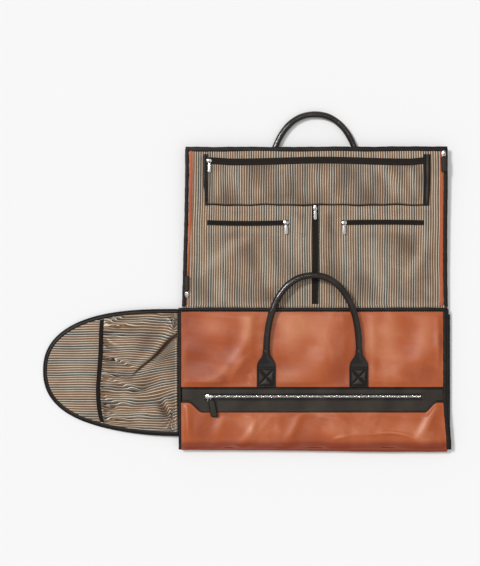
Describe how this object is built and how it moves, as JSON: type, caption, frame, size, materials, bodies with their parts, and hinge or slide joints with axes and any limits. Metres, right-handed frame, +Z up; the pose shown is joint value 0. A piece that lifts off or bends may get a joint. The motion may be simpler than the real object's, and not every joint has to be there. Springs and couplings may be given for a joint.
{
  "type": "garment duffel bag",
  "caption": "Leather garment duffel laid open flat, with a folded front panel, striped lining with pockets, D-shaped end panels, rolled handles and zips.",
  "frame": {"origin": "on the floor under the middle of the laid-open bag's bounding box", "axes": "+X to the bag's right across the strip, +Y from the front fold towards the back panel, +Z up off the floor"},
  "size_m": [0.8671, 0.7134, 0.0411],
  "materials": {
    "tan_leather": "smooth burnt-orange leather with a soft sheen and light creases",
    "black_leather": "very dark brown grained leather, semi-matt",
    "striped_lining": "woven stripes in cream, brown, blue-grey and dark lines",
    "elastic": "ribbed dark elastic webbing",
    "zip_tape": "black herringbone zip tape with a coil",
    "chrome": "polished zip hardware",
    "board": "stiff fibreboard inside the bottom"
  },
  "bodies": {
    "base": {"base_outer": "tan_leather", "base_board": "board", "base_lining": "striped_lining"},
    "front_panel": {"front_upper": "tan_leather", "front_band": "black_leather", "front_lower": "tan_leather", "front_lining": "striped_lining", "front_pocket_bag": "striped_lining", "front_top_binding": "black_leather", "front_left_binding": "black_leather", "front_right_binding": "black_leather", "front_zip_tape": "zip_tape", "front_zip_teeth": "chrome", "front_patch_left": "black_leather", "front_patch_right": "black_leather"},
    "front_tongues": {"front_tongue_left": "black_leather", "front_tongue_right": "black_leather"},
    "front_handle": {"front_handle": "black_leather"},
    "back_panel": {"back_outer": "tan_leather", "back_lining": "striped_lining", "back_left_facing": "tan_leather", "back_right_facing": "tan_leather", "back_top_binding": "black_leather", "back_left_binding": "black_leather", "back_right_binding": "black_leather", "back_patch_left": "black_leather", "back_patch_right": "black_leather", "top_pocket_front": "striped_lining", "top_pocket_zip_tape": "zip_tape", "top_pocket_left_gusset": "black_leather", "top_pocket_right_gusset": "black_leather", "left_pocket_zip_tape": "zip_tape", "right_pocket_zip_tape": "zip_tape", "garment_zip_tape": "zip_tape"},
    "back_handle": {"back_handle": "black_leather"},
    "left_end": {"left_end_outer": "tan_leather", "left_end_lining": "striped_lining", "left_end_binding": "black_leather", "left_end_zip_chain": "zip_tape", "shoe_pocket": "striped_lining", "shoe_pocket_band": "elastic"},
    "right_end": {"right_end_outer": "tan_leather", "right_end_lining": "striped_lining", "right_end_binding": "black_leather", "right_end_zip_chain": "zip_tape"},
    "front_pocket_slider": {"front_pocket_slider": "chrome"},
    "front_pocket_pull": {"front_pocket_pull": "black_leather"},
    "top_pocket_slider": {"top_pocket_slider": "chrome"},
    "top_pocket_pull": {"top_pocket_pull": "chrome"},
    "left_pocket_slider": {"left_pocket_slider": "chrome"},
    "left_pocket_pull": {"left_pocket_pull": "chrome"},
    "right_pocket_slider": {"right_pocket_slider": "chrome"},
    "right_pocket_pull": {"right_pocket_pull": "chrome"},
    "garment_slider": {"garment_slider": "chrome"},
    "garment_pull": {"garment_pull": "chrome"},
    "left_side_slider": {"left_side_slider": "chrome"},
    "left_side_pull": {"left_side_pull": "black_leather"},
    "right_side_slider": {"right_side_slider": "chrome"},
    "right_side_pull": {"right_side_pull": "black_leather"}
  },
  "joints": [
    {"name": "front_panel_fold", "type": "hinge", "parent": "base", "child": "front_panel", "pos_m": [0.1423, -0.35737, 0.0122], "axis": [1, 0, 0], "range_deg": [0, 170]},
    {"name": "front_tongues_bend", "type": "hinge", "parent": "front_panel", "child": "front_tongues", "pos_m": [0.1368, -0.18437, 0.0207], "axis": [1, 0, 0], "range_deg": [0, 60]},
    {"name": "front_handle_lift", "type": "hinge", "parent": "front_tongues", "child": "front_handle", "pos_m": [0.1368, -0.15937, 0.0255], "axis": [1, 0, 0], "range_deg": [0, 88]},
    {"name": "back_panel_fold", "type": "hinge", "parent": "base", "child": "back_panel", "pos_m": [0.1423, -0.05737, 0.012], "axis": [1, 0, 0], "range_deg": [0, 88.7]},
    {"name": "back_handle_swing", "type": "hinge", "parent": "back_panel", "child": "back_handle", "pos_m": [0.1423, 0.18081, 0.007], "axis": [-1, 0, 0], "range_deg": [0, 150]},
    {"name": "left_end_fold", "type": "hinge", "parent": "base", "child": "left_end", "pos_m": [-0.1467, -0.19237, 0.012], "axis": [0, 1, 0], "range_deg": [0, 91.5]},
    {"name": "right_end_fold", "type": "hinge", "parent": "base", "child": "right_end", "pos_m": [0.4343, -0.19237, 0.00625], "axis": [0, -1, 0], "range_deg": [0, 270]},
    {"name": "front_pocket_slide", "type": "slide", "parent": "front_panel", "child": "front_pocket_slider", "axis": [1, 0, 0], "range_m": [0, 0.445]},
    {"name": "top_pocket_slide", "type": "slide", "parent": "back_panel", "child": "top_pocket_slider", "axis": [1, 0, 0], "range_m": [0, 0.445]},
    {"name": "left_pocket_slide", "type": "slide", "parent": "back_panel", "child": "left_pocket_slider", "axis": [-1, 0, 0], "range_m": [0, 0.163]},
    {"name": "right_pocket_slide", "type": "slide", "parent": "back_panel", "child": "right_pocket_slider", "axis": [1, 0, 0], "range_m": [0, 0.163]},
    {"name": "garment_slide", "type": "slide", "parent": "back_panel", "child": "garment_slider", "axis": [0, -0.9997, -0.0228], "range_m": [0, 0.1795]},
    {"name": "left_side_slide", "type": "slide", "parent": "back_panel", "child": "left_side_slider", "axis": [0, 0.9997, 0.0228], "range_m": [0, 0.298]},
    {"name": "right_side_slide", "type": "slide", "parent": "back_panel", "child": "right_side_slider", "axis": [0, -0.9997, -0.0228], "range_m": [0, 0.275]},
    {"name": "front_pocket_pull_turn", "type": "hinge", "parent": "front_pocket_slider", "child": "front_pocket_pull", "pos_m": [-0.0806, -0.24587, 0.0225], "axis": [-1, 0, 0], "range_deg": [0, 165]},
    {"name": "top_pocket_pull_turn", "type": "hinge", "parent": "top_pocket_slider", "child": "top_pocket_pull", "pos_m": [-0.0806, 0.25041, 0.02531], "axis": [-1, 0, 0], "range_deg": [0, 170]},
    {"name": "left_pocket_pull_turn", "type": "hinge", "parent": "left_pocket_slider", "child": "left_pocket_pull", "pos_m": [0.0812, 0.12046, 0.02135], "axis": [-1, 0, 0], "range_deg": [0, 170]},
    {"name": "right_pocket_pull_turn", "type": "hinge", "parent": "right_pocket_slider", "child": "right_pocket_pull", "pos_m": [0.2034, 0.12046, 0.02135], "axis": [-1, 0, 0], "range_deg": [0, 170]},
    {"name": "garment_pull_turn", "type": "hinge", "parent": "garment_slider", "child": "garment_pull", "pos_m": [0.1423, 0.15136, 0.02205], "axis": [-1, 0, 0], "range_deg": [0, 170]},
    {"name": "left_side_pull_turn", "type": "hinge", "parent": "left_side_slider", "child": "left_side_pull", "pos_m": [-0.1282, -0.03148, 0.01709], "axis": [1, 0, 0], "range_deg": [0, 150]},
    {"name": "right_side_pull_turn", "type": "hinge", "parent": "right_side_slider", "child": "right_side_pull", "pos_m": [0.4128, 0.26644, 0.02387], "axis": [-1, 0, 0], "range_deg": [0, 150]}
  ],
  "couplings": [
    {"joint": "front_tongues_bend", "follows": "back_panel_fold", "ratio": 0.65}
  ]
}
